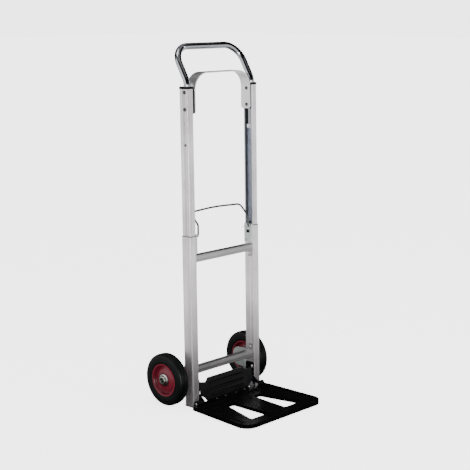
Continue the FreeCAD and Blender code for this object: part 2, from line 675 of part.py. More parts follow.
def top_strap():
    strap = new_body("top_strap")
    out, inner = "strap_half", "(strap_half - strap_thick)"
    side = [("-" + out, "strap_low"), ("-" + out, "strap_top"), (out, "strap_top"), (out, "strap_low"),
            (inner, "strap_low"), (inner, "strap_top - strap_thick"),
            ("-" + inner, "strap_top - strap_thick"), ("-" + inner, "strap_low")]
    middle_v = "-(post_depth + strap_width) / 2"
    pad(strap, outline(strap, "XZ_Plane", [side], lift=middle_v), "strap_width")
    top, half = size_of("strap_top"), size_of("strap_half")

    def outer_corner(middle, along, length):
        return abs(along.y) > 0.99 and middle.z > top - 1 and abs(middle.x) > half - 1

    def inner_corner(middle, along, length):
        return abs(along.y) > 0.99 and top - 5 < middle.z < top - 1 and half - 5 < abs(middle.x) < half - 1

    def leg_end(middle, along, length):
        return abs(along.x) > 0.99 and length < 10 and middle.z < size_of("strap_low") + 1

    round_edges(strap, "strap_bend", outer_corner)
    round_edges(strap, "strap_bend - strap_thick", inner_corner)
    round_edges(strap, "strap_corner", leg_end)
    for u in ("bolt_upper", "bolt_lower"):
        drill(strap, "bolt_radius + running_gap", "tube_setback", u)
    on_posts(strap)
    return strap


def through_bolt(u):
    """From the post's outer web, through tube, spacer and strap."""
    reach = "upper_out - strap_half + strap_thick"
    dome = [(0, -2.8), ("bolt_radius - 0.6", -2.8), ("bolt_radius + 0.9", -2.3), ("bolt_radius + 2.2", -1.2),
            ("bolt_radius + 2.5", 0), ("bolt_radius", 0)]
    head = [("bolt_radius", reach), ("bolt_head", reach), ("bolt_head", reach + " + 1.6"),
            ("bolt_head - 1.6", reach + " + 3"), (0, reach + " + 3")]
    bolt = turned("through_bolt", dome + head)
    across(bolt, "strap_half - strap_thick", "tube_setback", u)
    return bolt


def web_rivet():
    shank, head = "web_rivet_shank", "web_rivet_head"
    rivet = turned("web_rivet", [(0, -1.2), (shank + " + 0.9", -1.2), (shank + " + 0.9", 0), (shank, 0),
                                 (shank, "upper_wall"), (head, "upper_wall"), (head, "upper_wall + 0.6"),
                                 (head + " - 1.5", "upper_wall + 1.4"), (head + " - 2.5", "upper_wall + 0.9"),
                                 (0, "upper_wall + 0.9")])
    across(rivet, "web_face", "tube_setback", "web_rivet_height")
    return rivet


keep_pair(upper_post())
keep_pair(post_cap())
keep_pair(strap_spacer())
keep_pair(slide_shoe())
keep_pair(tube_stop())
keep(handle())
keep(top_strap())
keep(both_sides("through_bolts", [through_bolt(u) for u in ("bolt_upper", "bolt_lower")]))
keep(both_sides("web_rivets", [web_rivet()]))


# ---------------------------------------------------------------- lock

def release_bail():
    """A bent wire across the truck, its ends turned out into the lock brackets."""
    x, v, u = size_of("bail_half"), size_of("bail_setback"), size_of("bail_height")
    end = size_of("lock_face + lock_wall + 2")
    top_v, top_u = size_of("bail_top_setback"), size_of("bail_top_height")
    kink, bow, wire = size_of("bail_kink"), size_of("bail_bow"), size_of("bail_wire")
    side = [(end, v, u), (x, v, u), (x, v, kink), (x, top_v, top_u)]
    spots = side + [(0, top_v + 2, top_u + bow)] + [(-a, b, c) for a, b, c in reversed(side)]
    bend = size_of("bail_bend")
    radii = [wire * 1.6, bend, bend, size_of("bail_crown"), bend, bend, wire * 1.6]
    return shaped("release_bail", swept(bend_path([FreeCAD.Vector(*spot) for spot in spots], radii), wire))


def lock_pin():
    """A round pin with a square end on the bracket's face; its tip stops short of the upper post's web."""
    pin = new_body("lock_pin")
    half = "pin_square / 2"
    square = box_corners("pin_setback - " + half, "pin_setback + " + half,
                         "pin_height - " + half, "pin_height + " + half)
    pad(pin, outline(pin, "YZ_Plane", [square], lift="lock_face - pin_cap - 2 * running_gap"), "pin_cap")
    pad(pin, disc(pin, "YZ_Plane", "pin_setback", "pin_height", "pin_radius", lift="lock_face - 0.6"),
        "web_face - pin_tip_gap - lock_face + 0.6")
    on_posts(pin)
    return pin


keep(release_bail())
keep_pair(lock_pin())


# ---------------------------------------------------------------- toe

def both(points):
    """A loop on the right side, and its mirror image."""
    return [points, [("-(%s)" % h, v) for h, v in points]]


def toe_plate():
    """A moulded plate on the floor: raised border, sunk rails, two slots, hinge knuckles at the rear."""
    plate = new_body("toe_plate")
    edge = [("-toe_rear_half", "-toe_rear"), ("toe_rear_half", "-toe_rear"),
            ("toe_half", "-toe_reach"), ("-toe_half", "-toe_reach")]
    pad(plate, outline(plate, "XY_Plane", [edge]), "toe_thick")
    half = size_of("toe_rear_half")
    front = -size_of("toe_reach")
    round_edges(plate, "toe_front_corner", lambda middle, along, length:
                abs(along.z) > 0.99 and middle.y < front + 1)
    round_edges(plate, "toe_rear_corner", lambda middle, along, length:
                abs(along.z) > 0.99 and middle.y > -10)
    # everything inside the border lies a little lower
    sunk = [("-toe_rear_half - 1 + toe_border", "-hinge_notch - toe_border"),
            ("toe_rear_half + 1 - toe_border", "-hinge_notch - toe_border"),
            ("toe_half - 1 - toe_border", "-toe_reach + toe_front_corner"),
            ("toe_half - toe_front_corner", "-toe_reach + toe_border + 2"),
            ("-toe_half + toe_front_corner", "-toe_reach + toe_border + 2"),
            ("-toe_half + 1 + toe_border", "-toe_reach + toe_front_corner")]
    pocket(plate, outline(plate, "XY_Plane", [sunk], lift="toe_thick"), "toe_sink")
    slot = [("slot_inner_rear", "-slot_rear"), ("slot_outer_rear", "-slot_rear"),
            ("slot_outer_front", "-slot_front"), ("slot_inner_front", "-slot_front")]
    pocket(plate, outline(plate, "XY_Plane", both(slot)))

    def slot_corner(rear):
        at = -size_of("slot_rear" if rear else "slot_front")
        return lambda middle, along, length: (
            abs(along.z) > 0.99 and abs(middle.y - at) < 1 and abs(middle.x) < half - 20)

    round_edges(plate, "slot_rear_round", slot_corner(True))
    round_edges(plate, "slot_front_round", slot_corner(False))
    # hollow underside with a rim all round
    cut_side = [("slot_outer_rear + 9", "-hinge_notch - 14"),
                ("toe_rear_half - toe_rim", "-hinge_notch - 14"),
                ("toe_half - toe_rim - 2", "-toe_reach + toe_front_corner"),
                ("slot_outer_front + 8", "-slot_front - 2")]
    cut_middle = [("-slot_inner_rear + 5", "-slot_rear - 2"), ("slot_inner_rear - 5", "-slot_rear - 2"),
                  ("slot_inner_front - 5", "-slot_front"), ("-slot_inner_front + 5", "-slot_front")]
    cut_front = box_corners("-toe_half + toe_front_corner", "toe_half - toe_front_corner",
                            "-toe_reach + toe_rim", "-slot_front - 5")
    hollows = both(cut_side) + [cut_middle, cut_front]
    pocket(plate, outline(plate, "XY_Plane", hollows), "toe_floor - toe_skin", reversed_way=True)
    # a lower strip along the rear for the flange, notched for the hinge plates
    seat = box_corners("-toe_rear_half - 1", "toe_rear_half + 1", "-hinge_notch", 1)
    pocket(plate, outline(plate, "XY_Plane", [seat], lift="toe_thick"), "toe_seat")
    notches = both(box_corners("hinge_in - pin_head - side_gap", "knuckle_in", "-hinge_notch", 5))
    notches += both(box_corners("knuckle_out", "half_width + 2", "-hinge_notch", 5))
    pocket(plate, outline(plate, "XY_Plane", notches))
    for start in ("knuckle_in", "-(knuckle_out)"):
        pad(plate, disc(plate, "YZ_Plane", "-hinge_reach", "hinge_height", "knuckle_radius", lift=start),
            "(knuckle_out) - (knuckle_in)")
    drill(plate, "hinge_pin_radius + running_gap", "-hinge_reach", "hinge_height")
    for x in TOE_RIVETS:
        drill(plate, "rivet_shank", x, "-flange_foot + 6", role="XY_Plane")
        drill(plate, "rivet_shank", "-(%s)" % x, "-flange_foot + 6", role="XY_Plane")
    on_floor(plate)
    return plate


TOE_RIVETS = ("flange_half * 0.8", "flange_half * 0.3")
RIB_HEIGHTS = ["(toe_thick + rib_pitch * %s - 5)" % number for number in (1, 2, 3)]


def toe_flange():
    """The upright ribbed plate between the posts, standing on the toe plate's rear edge."""
    flange = new_body("toe_flange")

    def slope(height):
        return "-toe_rear - 1.5 + flange_slope * (%s - toe_thick)" % height

    wall = [(slope("toe_seat_top"), "toe_seat_top"),
            (slope("toe_seat_top") + " + flange_thick", "toe_seat_top"),
            (slope("flange_top") + " + flange_thick", "flange_top"),
            (slope("flange_top"), "flange_top")]
    pad(flange, outline(flange, "YZ_Plane", [wall]), "2 * ear_half", midplane=True)
    # the ears are lower than the middle, with slanted corners
    above = [("ear_half + 1", "ear_high"), ("ear_half + 1", "flange_top + 1"),
             ("flange_half", "flange_top + 1"), ("flange_half", "flange_top"),
             ("flange_half + ear_slant", "ear_dip")]
    below = [("ear_half + 1", "toe_seat_top - 1"), ("ear_half + 1", "ear_low"), ("ear_half - 17", "ear_foot"),
             ("ear_half - 24", "toe_seat_top - 1")]
    pocket(flange, outline(flange, "XZ_Plane", both(above) + both(below)))
    foot = box_corners("-flange_foot", "-toe_rear", "toe_seat_top", "toe_seat_top + flange_foot_thick")
    pad(flange, outline(flange, "YZ_Plane", [foot]), "2 * flange_half", midplane=True)
    for low in RIB_HEIGHTS:
        high = "(%s + rib_height)" % low
        rib = [(slope(low) + " + 0.5", low), (slope(high) + " + 0.5", high),
               (slope(high) + " - rib_depth", high + " - 1.5"), (slope(low) + " - rib_depth", low + " + 1.5")]
        pad(flange, outline(flange, "YZ_Plane", [rib]), "2 * (flange_half - rib_margin)", midplane=True)
    for x in TOE_RIVETS:
        for spot in (x, "-(%s)" % x):
            drill(flange, "rivet_shank", spot, "-flange_foot + 6", role="XY_Plane",
                  lift="toe_seat_top - 1", depth="flange_foot_thick + 2")
    on_floor(flange)
    return flange


def toe_rivet(x):
    grip = "toe_seat_top + flange_foot_thick"
    top = grip + " + rivet_height"
    rivet = turned("toe_rivet", [(0, 0.6), ("rivet_shank", 0.6), ("rivet_shank", grip),
                                 ("rivet_head", grip), ("rivet_head * 0.7", top), (0, top)])
    place(rivet, x, "setback - flange_foot + 6", 0)
    return rivet


keep(toe_plate())
keep(toe_flange())
keep(both_sides("toe_rivets", [toe_rivet(x) for x in TOE_RIVETS]))


# ---------------------------------------------------------------- wheels

def wheel_arm():
    """A bent plate from the hinge behind the post to the axle."""
    arm = new_body("wheel_arm")
    height = "arm_high - arm_low"
    near, far = "arm_hinge_setback + arm_pin_radius", "arm_hinge_setback + arm_pin_radius + arm_thick"
    plan = [("arm_hinge_x", near), ("plate_x + arm_thick", near), ("plate_x + arm_thick", "axle_v + arm_end"),
            ("plate_x", "axle_v + arm_end"), ("plate_x", far), ("arm_hinge_x", far)]
    pad(arm, outline(arm, "XY_Plane", [plan], lift="arm_low"), height)
    end = size_of("axle_v + arm_end") - 1
    round_edges(arm, "arm_round", lambda middle, along, length: abs(along.x) > 0.99 and middle.y > end)
    pad(arm, disc(arm, "XY_Plane", "arm_hinge_x", "arm_hinge_setback", "arm_knuckle", lift="arm_low"), height)
    drill(arm, "arm_pin_radius + running_gap", "arm_hinge_x", "arm_hinge_setback", role="XY_Plane")
    drill(arm, "axle_radius", "axle_v", "axle_u", lift="plate_x - 1", depth="arm_thick + 2")
    on_posts(arm)
    return arm


def on_axle(piece):
    place(piece, "wheel_track / 2", "setback + wheel_setback", "axle_height", axis=(0, 1, 0), angle=90)
    return piece


def tyre():
    half = [("bead_radius", "tyre_side - 4.5"), ("bead_radius + 6", "tyre_side - 1.3"),
            ("bead_radius + 16", "tyre_side"), ("tyre_radius - 9", "tyre_side"),
            ("tyre_radius - 3.5", "tyre_side - 2"), ("tyre_radius - 0.8", "tyre_side - 6"),
            ("tyre_radius", "tyre_side - 11")]
    return on_axle(turned("tyre", half + [(radius, "-(%s)" % height) for radius, height in reversed(half)]))


def rim(label, side):
    """One pressed half: barrel under the bead, rolled edge, dished disc up to the hub."""
    barrel, seat = "bead_radius - rim_steel - 0.2", "bead_radius - 0.2"
    outward = [(barrel, 0.1), (seat, 0.1), (seat, "tyre_side - 4.1"), ("bead_radius + 4", "tyre_side - 1.8"),
               ("bead_radius + 3.4", "tyre_side - 0.2"), ("bead_radius + 0.8", "tyre_side - 0.4"),
               ("bead_radius - rim_steel - 0.4", "tyre_side - 2.6"),
               ("dish_radius + 2.5", "dish_level + 0.6"), ("dish_radius", "dish_level"),
               ("dish_inner", "hub_level - 0.1"), ("hub_radius + 0.1", "hub_level")]
    inward = [("hub_radius + 0.1", "hub_level - rim_steel"),
              ("dish_inner - 0.5", "hub_level - 0.1 - rim_steel"),
              ("dish_radius - 0.5", "dish_level - rim_steel"),
              ("dish_radius + 3.5", "dish_level + 0.6 - rim_steel"), (barrel, "tyre_side - 7.3")]
    profile = outward + inward
    if side < 0:
        profile = [(radius, "-(%s)" % height) for radius, height in reversed(profile)]
    return on_axle(turned(label, profile))


def hub():
    bore, recess = "axle_radius + running_gap", "hub_reach - hub_recess_depth"
    behind = [(bore, "-hub_back"), ("hub_nose", "-hub_back"), ("hub_radius", "-hub_back + 3")]
    shoulder = [("hub_radius", "hub_level + 0.2"), ("hub_flange", "hub_level + 0.2"),
                ("hub_flange", "hub_level + hub_flange_thick"),
                ("hub_flange - 2", "hub_level + hub_flange_thick + 1"),
                ("hub_nose + 1.5", "hub_level + hub_flange_thick + 1.5")]
    nose = [("hub_nose", "hub_reach - 0.8"), ("hub_nose - 1", "hub_reach"), ("hub_recess + 0.4", "hub_reach"),
            ("hub_recess", "hub_reach - 0.4"), ("hub_recess", recess), (bore, recess)]
    return on_axle(turned("hub", behind + shoulder + nose))


def axle():
    end = "hub_reach - 3"
    start = "-arm_offset - arm_thick"
    return on_axle(turned("axle", [(0, start), ("axle_radius", start), ("axle_radius", end + " - 1"),
                                   ("axle_radius - 1", end), (0, end)]))


def axle_clip():
    low = "hub_reach - hub_recess_depth + %s"
    return on_axle(turned("axle_clip", [("axle_radius", low % 0.4), ("hub_recess - 0.4", low % 0.4),
                                        ("hub_recess - 0.4", low % 1), ("axle_radius + 1", low % 2),
                                        ("axle_radius", low % 2)]))


def axle_spacer():
    return on_axle(turned("axle_spacer", [("axle_radius", "-arm_offset"), ("axle_radius + 5", "-arm_offset"),
                                          ("axle_radius + 5", "-hub_back - 0.3"),
                                          ("axle_radius", "-hub_back - 0.3")]))


for piece in (wheel_arm(), axle(), axle_clip(), axle_spacer(), tyre(), hub(),
              rim("rim_outer", 1), rim("rim_inner", -1)):
    keep_pair(piece)


# ---------------------------------------------------------------- checks and files

doc.recompute()
faults = ["%s: %s" % (item.Label, item.State) for item in doc.Objects
          if "Invalid" in item.State or "Error" in item.State]
for node in nodes:
    if node.Shape.isNull() or not node.Shape.isValid() or not node.Shape.Solids:
        faults.append("%s: no valid solid" % node.Label)
if faults:
    raise RuntimeError("; ".join(faults))

os.makedirs("parts", exist_ok=True)
for node in nodes:
    node.Shape.exportStep("parts/%s.step" % node.Label)
print(len(nodes), "nodes written")
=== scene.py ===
import json
import math

import bmesh
import bpy
from mathutils import Matrix, Vector

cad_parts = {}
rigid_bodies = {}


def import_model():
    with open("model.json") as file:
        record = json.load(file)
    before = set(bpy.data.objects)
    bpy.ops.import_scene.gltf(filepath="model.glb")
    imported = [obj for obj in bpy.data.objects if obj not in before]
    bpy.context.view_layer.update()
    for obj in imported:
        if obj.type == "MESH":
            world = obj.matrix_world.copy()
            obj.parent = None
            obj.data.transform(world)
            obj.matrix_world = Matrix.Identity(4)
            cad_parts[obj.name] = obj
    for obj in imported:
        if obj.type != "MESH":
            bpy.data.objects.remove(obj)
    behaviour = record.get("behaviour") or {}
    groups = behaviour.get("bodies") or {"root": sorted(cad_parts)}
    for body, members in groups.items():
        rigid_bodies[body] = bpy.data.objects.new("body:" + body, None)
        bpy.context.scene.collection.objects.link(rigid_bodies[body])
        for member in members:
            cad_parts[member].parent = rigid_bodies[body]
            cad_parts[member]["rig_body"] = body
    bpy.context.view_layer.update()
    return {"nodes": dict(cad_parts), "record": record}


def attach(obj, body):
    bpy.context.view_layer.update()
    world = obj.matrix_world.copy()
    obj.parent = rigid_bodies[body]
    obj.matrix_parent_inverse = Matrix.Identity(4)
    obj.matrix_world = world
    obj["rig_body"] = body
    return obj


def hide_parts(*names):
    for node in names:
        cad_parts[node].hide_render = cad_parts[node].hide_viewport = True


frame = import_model()

MM = 0.001
LEAN = math.radians(1.06)
SLOPE = Vector((0, math.sin(LEAN), math.cos(LEAN)))
SIDES = (("left", -1), ("right", 1))
SETBACK = 0.04075
AXLE = Vector((0.177, 0.12775, 0.0815))
RIM_RADIUS = 0.052
# where the painted shade within the open channel begins: across from the web, and in depth from its two
# walls
WEB_FACE = (0.1468, 0.1462)
FRONT_WALL = (0.0024, 0.0028)
REAR_WALL = (0.0341, 0.0337)
BAIL_PIVOT = {"side": 0.1095, "depth_mm": 6.7, "height_mm": 532.5}

LENS_MM = 90.66
SENSOR_MM = 36
WORLD_STRENGTH = 3.6
FLOOR_STRENGTH = 3.1


# ---------------------------------------------------------------- camera, floor and light

def look_from(azimuth, elevation, target, distance):
    """Places the camera on a sphere round the target, looking at it."""
    a, e = math.radians(azimuth), math.radians(elevation)
    back = Vector((math.sin(a) * math.cos(e), -math.cos(a) * math.cos(e), math.sin(e)))
    data = bpy.data.cameras.new("camera")
    data.lens = LENS_MM
    data.sensor_width = SENSOR_MM
    data.clip_end = 50
    camera = bpy.data.objects.new("camera", data)
    camera.location = target + back * distance
    camera.rotation_mode = "QUATERNION"
    camera.rotation_quaternion = (-back).to_track_quat("-Z", "Y")
    bpy.context.scene.collection.objects.link(camera)
    bpy.context.scene.camera = camera


def softbox(name, place, aim, width, height, power, mirrored):
    """A rectangular light; mirrored says whether polished metal shows it."""
    data = bpy.data.lights.new(name, "AREA")
    data.shape = "RECTANGLE"
    data.size, data.size_y, data.energy = width, height, power
    lamp = bpy.data.objects.new(name, data)
    lamp.visible_glossy = mirrored
    lamp.location = place
    lamp.rotation_mode = "QUATERNION"
    lamp.rotation_quaternion = (Vector(aim) - Vector(place)).to_track_quat("-Z", "Y")
    bpy.context.scene.collection.objects.link(lamp)


def math_node(tree, kind, first, second=None, third=None):
    """One sum on numbers or sockets."""
    node = tree.nodes.new("ShaderNodeMath")
    node.operation = kind
    for socket, value in zip(node.inputs, (first, second, third)):
        if value is None:
            continue
        if isinstance(value, (int, float)):
            socket.default_value = value
        else:
            tree.links.new(value, socket)
    return node.outputs[0]


def ramp_node(tree, value, low, high, smooth=False):
    """0 at the low value and 1 at the high one, held at both ends."""
    node = tree.nodes.new("ShaderNodeMapRange")
    node.interpolation_type = "SMOOTHSTEP" if smooth else "LINEAR"
    node.inputs["From Min"].default_value = low
    node.inputs["From Max"].default_value = high
    tree.links.new(value, node.inputs["Value"])
    return node.outputs[0]


def steps_node(tree, value, stops):
    """A grey level that follows a list of (position, level) stops."""
    node = tree.nodes.new("ShaderNodeValToRGB")
    while len(node.color_ramp.elements) < len(stops):
        node.color_ramp.elements.new(0.5)
    for element, (position, level) in zip(node.color_ramp.elements, stops):
        element.position = position
        element.color = (level, level, level, 1)
    tree.links.new(value, node.inputs[0])
    return node.outputs[0]


def background(tree, strength, colour=None):
    """A white sky, or one of the given colour."""
    node = tree.nodes.new("ShaderNodeBackground")
    node.inputs["Color"].default_value = (1, 1, 1, 1)
    node.inputs["Strength"].default_value = strength
    if colour is not None:
        tree.links.new(colour, node.inputs["Color"])
    return node.outputs[0]


def choose(tree, mask, first, second):
    """The first shader where the mask is 0 and the second where it is 1."""
    node = tree.nodes.new("ShaderNodeMixShader")
    tree.links.new(mask, node.inputs[0])
    tree.links.new(first, node.inputs[1])
    tree.links.new(second, node.inputs[2])
    return node.outputs[0]


def studio_world():
    """White behind the truck; polished metal sees a dark studio with a pale wall at the left rear."""
    world = bpy.data.worlds.new("studio")
    bpy.context.scene.world = world
    world.use_nodes = True
    tree = world.node_tree
    tree.nodes.clear()
    out = tree.nodes.new("ShaderNodeOutputWorld")
    path = tree.nodes.new("ShaderNodeLightPath")
    where = tree.nodes.new("ShaderNodeTexCoord")
    split = tree.nodes.new("ShaderNodeSeparateXYZ")
    tree.links.new(where.outputs["Generated"], split.inputs[0])
    height = ramp_node(tree, split.outputs["Z"], -1, 1)
    rows = steps_node(tree, height,
                      ((0.0, 0.3), (0.47, 0.3), (0.53, 0.02), (0.84, 0.015), (0.9, 0.5), (1.0, 0.3)))
    leftward = math_node(tree, "MULTIPLY_ADD", split.outputs["X"], -0.85, 0.0)
    leftward = math_node(tree, "MULTIPLY_ADD", split.outputs["Y"], 0.35, leftward)
    wall = math_node(tree, "MULTIPLY", ramp_node(tree, leftward, 0.66, 0.88, smooth=True), 2.2)
    low = ramp_node(tree, split.outputs["Z"], 0.22, 0.0, smooth=True)
    frontward = ramp_node(tree, split.outputs["Y"], 0.1, -0.7, smooth=True)
    front = math_node(tree, "MULTIPLY", math_node(tree, "MULTIPLY", low, frontward), 1.5)
    seen_by_gloss = math_node(tree, "MAXIMUM", rows, math_node(tree, "MAXIMUM", wall, front))
    mirrored = background(tree, 1.0, seen_by_gloss)
    felt = choose(tree, path.outputs["Is Glossy Ray"], background(tree, 0.9), mirrored)
    shown = choose(tree, path.outputs["Is Camera Ray"], felt, background(tree, WORLD_STRENGTH))
    tree.links.new(shown, out.inputs[0])


look_from(-45.78, 11.27, Vector((0.0741, 0.08075, 0.505)), 3.7106)
studio_world()
softbox("key", (0.9, -3.6, 2.0), (0, 0, 0.5), 1.2, 2.4, 60, False)
softbox("fill", (-3.0, -0.9, 1.6), (0, 0, 0.5), 1.2, 2.2, 9, False)
softbox("corner", (-1.9, -1.85, 0.62), (0, 0, 0.45), 0.22, 1.2, 40, True)
softbox("strip", (2.6, -1.5, 1.9), (0, 0, 0.8), 0.14, 1.6, 5, True)
softbox("top", (-0.5, 0.2, 3.0), (0, 0, 0.4), 0.9, 1.2, 12, True)


# ---------------------------------------------------------------- finishes

def new_group(name, inputs, outputs):
    """A shader node group with float or vector sockets, empty but for its ends."""
    group = bpy.data.node_groups.new(name, "ShaderNodeTree")
    for label, value in inputs:
        socket = group.interface.new_socket(name=label, in_out="INPUT", socket_type="NodeSocketFloat")
        socket.default_value = value
    for label in outputs:
        group.interface.new_socket(name=label, in_out="OUTPUT", socket_type="NodeSocketFloat")
    return group, group.nodes.new("NodeGroupInput"), group.nodes.new("NodeGroupOutput")


def object_place(tree):
    """The point's place in the shared frame."""
    return tree.nodes.new("ShaderNodeTexCoord").outputs["Object"]


def noise_node(tree, vector, scale, detail, roughness=0.5):
    node = tree.nodes.new("ShaderNodeTexNoise")
    node.inputs["Detail"].default_value = detail
    node.inputs["Roughness"].default_value = roughness
    if isinstance(scale, (int, float)):
        node.inputs["Scale"].default_value = scale
    else:
        tree.links.new(scale, node.inputs["Scale"])
    tree.links.new(vector, node.inputs["Vector"])
    return node.outputs["Fac"]


def drawn_lines_group():
    """Fine lines left by drawing or brushing, stretched along one axis; and slow, cloudy change."""
    inputs = (("Along X", 1), ("Along Y", 1), ("Along Z", 1), ("Fineness", 1))
    group, into, out = new_group("drawn_lines", inputs, ("Lines", "Clouds"))
    where = object_place(group)
    join = group.nodes.new("ShaderNodeCombineXYZ")
    for axis in "XYZ":
        group.links.new(into.outputs["Along " + axis], join.inputs[axis])
    stretch = group.nodes.new("ShaderNodeVectorMath")
    stretch.operation = "MULTIPLY"
    group.links.new(where, stretch.inputs[0])
    group.links.new(join.outputs[0], stretch.inputs[1])
    coarse = noise_node(group, stretch.outputs[0], into.outputs["Fineness"], 4, 0.7)
    group.links.new(coarse, out.inputs["Lines"])
    group.links.new(noise_node(group, where, 9.0, 3), out.inputs["Clouds"])
    return group


def speckle_group():
    """Grain of a moulded or coated surface, with a soft scatter of dust."""
    group, into, out = new_group("speckle", (("Grain Scale", 900), ("Dust Scale", 40)), ("Grain", "Dust"))
    where = object_place(group)
    grain = noise_node(group, where, into.outputs["Grain Scale"], 3, 0.6)
    dust = noise_node(group, where, into.outputs["Dust Scale"], 6, 0.7)
    group.links.new(grain, out.inputs["Grain"])
    group.links.new(ramp_node(group, dust, 0.52, 0.75), out.inputs["Dust"])
    return group


LINES = drawn_lines_group()
SPECKLE = speckle_group()


def speckle_node(tree, grain_scale, dust_scale=40):
    """The speckle group's outputs at two scales."""
    node = tree.nodes.new("ShaderNodeGroup")
    node.node_tree = SPECKLE
    node.inputs["Grain Scale"].default_value = grain_scale
    node.inputs["Dust Scale"].default_value = dust_scale
    return node.outputs


def new_material(name):
    material = bpy.data.materials.new(name)
    material.use_nodes = True
    tree = material.node_tree
    return material, tree, tree.nodes["Principled BSDF"]


def mix_colours(tree, mask, first, second):
    """Two fixed colours, mixed by a mask."""
    node = tree.nodes.new("ShaderNodeMix")
    node.data_type = "RGBA"
    tree.links.new(mask, node.inputs["Factor"])
    node.inputs["A"].default_value = (*first, 1)
    node.inputs["B"].default_value = (*second, 1)
    return node.outputs["Result"]


def roughen(tree, shader, pattern, amount, roughness):
    """Roughness that follows a pattern."""
    tree.links.new(math_node(tree, "MULTIPLY_ADD", pattern, amount, roughness), shader.inputs["Roughness"])


def bump(tree, shader, height, strength, distance):
    node = tree.nodes.new("ShaderNodeBump")
    node.inputs["Strength"].default_value = strength
    node.inputs["Distance"].default_value = distance
    tree.links.new(height, node.inputs["Height"])
    tree.links.new(node.outputs[0], shader.inputs["Normal"])


def drawn_metal(name, light, dark, roughness, along, fineness, line_depth, metallic):
    """Bare metal with drawn or brushed lines running along one axis."""
    material, tree, shader = new_material(name)
    lines = tree.nodes.new("ShaderNodeGroup")
    lines.node_tree = LINES
    for axis in "XYZ":
        lines.inputs["Along " + axis].default_value = 3 if axis == along else 420
    lines.inputs["Fineness"].default_value = fineness
    tone = math_node(tree, "MULTIPLY_ADD", lines.outputs["Lines"], 0.6, 0.0)
    tone = math_node(tree, "MULTIPLY_ADD", lines.outputs["Clouds"], 0.4, tone)
    mask = ramp_node(tree, tone, 0.38, 0.62)
    tree.links.new(mix_colours(tree, mask, dark, light), shader.inputs["Base Color"])
    roughen(tree, shader, lines.outputs["Lines"], 0.16, roughness - 0.08)
    shader.inputs["Metallic"].default_value = metallic
    bump(tree, shader, lines.outputs["Lines"], line_depth, 0.0004)
    return material


def channel_with_painted_shade():
    """The drawn finish of the upper posts, with painted shade, dark and bluish, within the open channel.
    """
    material = FINISH["post_aluminium"].copy()
    material.name = "satin_channel_painted_shade"
    tree = material.node_tree
    shader = tree.nodes["Principled BSDF"]
    outside = shader.inputs["Base Color"].links[0].from_socket
    split = tree.nodes.new("ShaderNodeSeparateXYZ")
    tree.links.new(object_place(tree), split.inputs[0])
    depth = math_node(tree, "MULTIPLY_ADD", split.outputs["Y"], math.cos(LEAN), -SETBACK * math.cos(LEAN))
    depth = math_node(tree, "MULTIPLY_ADD", split.outputs["Z"], -math.sin(LEAN), depth)
    # painted shade: a mask that is 1 within the open channel, between its web and its two walls
    painted_shade_mask = ramp_node(tree, math_node(tree, "ABSOLUTE", split.outputs["X"]), *WEB_FACE)
    painted_shade_mask = math_node(tree, "MINIMUM", painted_shade_mask, ramp_node(tree, depth, *FRONT_WALL))
    painted_shade_mask = math_node(tree, "MINIMUM", painted_shade_mask, ramp_node(tree, depth, *REAR_WALL))
    node = tree.nodes.new("ShaderNodeMix")
    node.data_type = "RGBA"
    tree.links.new(painted_shade_mask, node.inputs["Factor"])
    tree.links.new(outside, node.inputs["A"])
    # the painted shade's colour: the drawn finish mixed most of the way to a dark blue grey
    painted_shade_colour = tree.nodes.new("ShaderNodeMix")
    painted_shade_colour.data_type = "RGBA"
    painted_shade_colour.inputs["B"].default_value = (0.13, 0.15, 0.18, 1)
    painted_shade_colour.inputs["Factor"].default_value = 0.85
    tree.links.new(outside, painted_shade_colour.inputs["A"])
    tree.links.new(painted_shade_colour.outputs["Result"], node.inputs["B"])
    tree.links.new(node.outputs["Result"], shader.inputs["Base Color"])
    return material


def plated_metal(name, light, dark, roughness, grain, metallic=1.0):
    """Chrome, zinc or other plating: nearly even, with faint clouds and fine pits."""
    material, tree, shader = new_material(name)
    speckle = speckle_node(tree, 500, 26)
    tree.links.new(mix_colours(tree, speckle["Dust"], light, dark), shader.inputs["Base Color"])
    roughen(tree, shader, speckle["Dust"], 0.12, roughness)
    shader.inputs["Metallic"].default_value = metallic
    bump(tree, shader, speckle["Grain"], grain, 0.0003)
    return material


def coated(name, colour, worn, roughness, grain, scale, gloss):
    """Plastic, powder coat or rubber: a grained skin with a little dust."""
    material, tree, shader = new_material(name)
    speckle = speckle_node(tree, scale)
    masked = math_node(tree, "MULTIPLY", speckle["Dust"], 0.25)
    tree.links.new(mix_colours(tree, masked, colour, worn), shader.inputs["Base Color"])
    roughen(tree, shader, speckle["Dust"], 0.15, roughness)
    shader.inputs["Specular IOR Level"].default_value = gloss
    bump(tree, shader, speckle["Grain"], grain, 0.0004)
    return material


